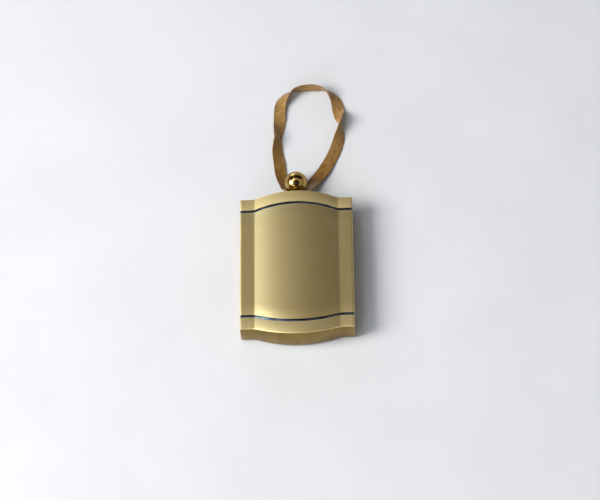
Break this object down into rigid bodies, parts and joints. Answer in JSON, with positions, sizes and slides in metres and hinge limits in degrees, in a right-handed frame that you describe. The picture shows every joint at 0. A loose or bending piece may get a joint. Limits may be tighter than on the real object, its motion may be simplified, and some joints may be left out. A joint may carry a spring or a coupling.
{
  "type": "paperweight",
  "caption": "Small gilt metal block paperweight with a crowned, brushed face, cut lines, a ball finial that turns and a satin ribbon to hang it by.",
  "frame": {"origin": "centre of the felt base, midway between the block's sides and between its bowed ends", "axes": "+Z out of the brushed face, +Y towards the finial and ribbon, +X to the right seen from the face"},
  "size_m": [0.036, 0.0958, 0.0091],
  "materials": {
    "brushed_gilt": "brushed across the face, polished on the sides and ends",
    "polished_gilt": "mirror polished",
    "steel": "zinc plated",
    "cast_metal": "as cast",
    "felt": "napped felt",
    "satin_ribbon": "satin weave with firm edges"
  },
  "bodies": {
    "block": {"front_shell": "brushed_gilt", "back_plate": "polished_gilt", "back_screws": "steel", "weight_slug": "cast_metal", "felt_pad": "felt", "finial_bush": "polished_gilt", "ribbon_hitch": "satin_ribbon", "ribbon_loop": "satin_ribbon"},
    "finial": {"finial_stud": "polished_gilt", "finial_clip": "steel", "finial_ball": "polished_gilt"}
  },
  "joints": [
    {"name": "finial_turn", "type": "hinge", "parent": "block", "child": "finial", "pos_m": [0, 0.0314, 0.0044], "axis": [0, 1, 0], "continuous": true}
  ]
}
